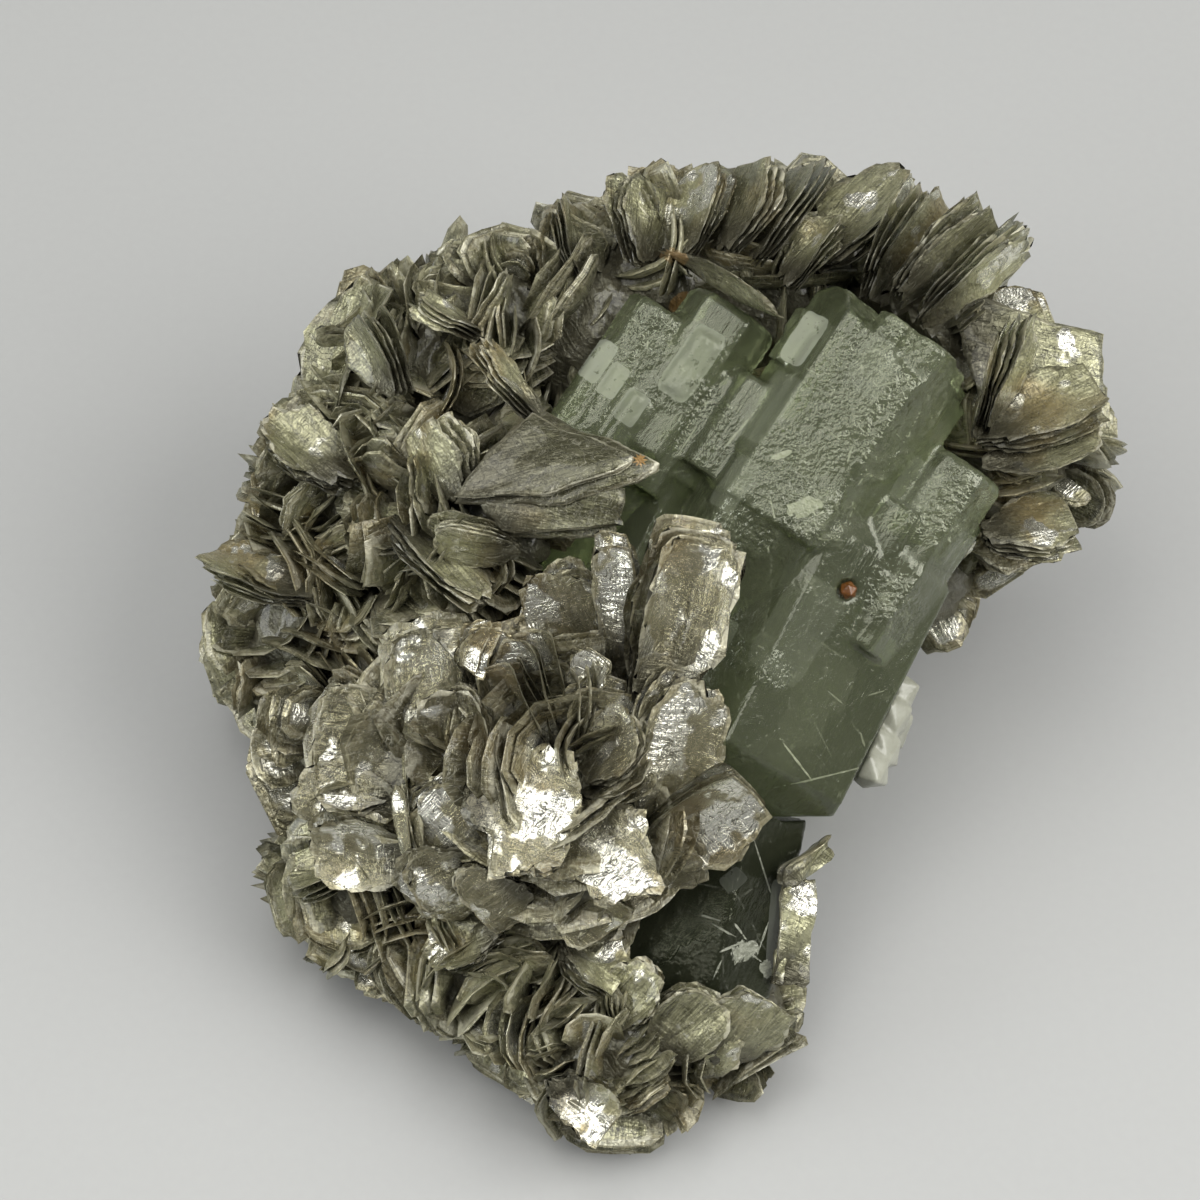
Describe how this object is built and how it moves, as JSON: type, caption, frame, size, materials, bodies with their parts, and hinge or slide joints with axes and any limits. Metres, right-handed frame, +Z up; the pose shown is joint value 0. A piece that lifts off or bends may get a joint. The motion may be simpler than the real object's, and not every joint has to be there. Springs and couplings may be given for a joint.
{
  "type": "aquamarine on muscovite mineral specimen",
  "caption": "Mineral hand specimen: a group of parallel pale aquamarine prisms seated in a mound of radiating muscovite mica books, resting on a flat broken base.",
  "frame": {"origin": "centre of the box round the specimen, at the surface that it stands on", "axes": "+Z up; the show face leans back and looks towards -Y and up; +X is to the right as seen from the front"},
  "size_m": [0.1029, 0.1053, 0.056],
  "materials": {
    "aquamarine": "pale grey-green, clear to frosty, vitreous with etched faces",
    "aquamarine_dark": "deep olive green, clear, vitreous",
    "albite": "chalky white, slightly translucent",
    "garnet": "orange-brown, glassy",
    "muscovite_silvery": "silvery, pearly to mirror-bright on cleavage faces",
    "muscovite": "greenish brown, pearly on faces, finely laminated on edges"
  },
  "bodies": {
    "root": {"aquamarine_main": "aquamarine", "aquamarine_lower": "aquamarine_dark", "albite": "albite", "garnet_grain": "garnet", "muscovite_front_rosette": "muscovite_silvery", "muscovite_left_bank": "muscovite", "muscovite_crest": "muscovite", "muscovite_right_books": "muscovite", "muscovite_lower_spray": "muscovite", "muscovite_base": "muscovite"}
  },
  "joints": []
}
